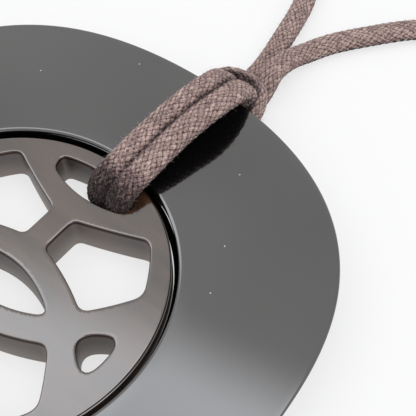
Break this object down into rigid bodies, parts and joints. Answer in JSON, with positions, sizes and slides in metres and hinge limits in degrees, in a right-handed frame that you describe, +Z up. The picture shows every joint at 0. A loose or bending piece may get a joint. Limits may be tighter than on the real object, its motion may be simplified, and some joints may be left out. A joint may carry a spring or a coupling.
{
  "type": "horn pendant necklace",
  "caption": "Necklace with an openwork horn disc set in a black lacquered soft-square plate, hitched on a flat cotton cord with a plain barrel clasp.",
  "frame": {"origin": "on the surface the necklace lies on, under the centre of the pendant", "axes": "+Z up out of the pendant's face, +Y from its centre towards the hitch of the cord, +X to the right of the face"},
  "size_m": [0.1273, 0.1526, 0.0114],
  "materials": {
    "horn": "polished horn, warm grey with faint growth bands",
    "lacquer": "deep black high gloss lacquer",
    "cotton_hitch": "matte braided cotton",
    "cotton_left": "matte braided cotton",
    "cotton_right": "matte braided cotton",
    "clasp_metal": "dark satin metal"
  },
  "bodies": {
    "root": {"horn_disc": "horn", "lacquer_plate": "lacquer", "cord_hitch": "cotton_hitch", "cord_left": "cotton_left", "cord_right": "cotton_right", "cord_clasp": "clasp_metal"}
  },
  "joints": []
}
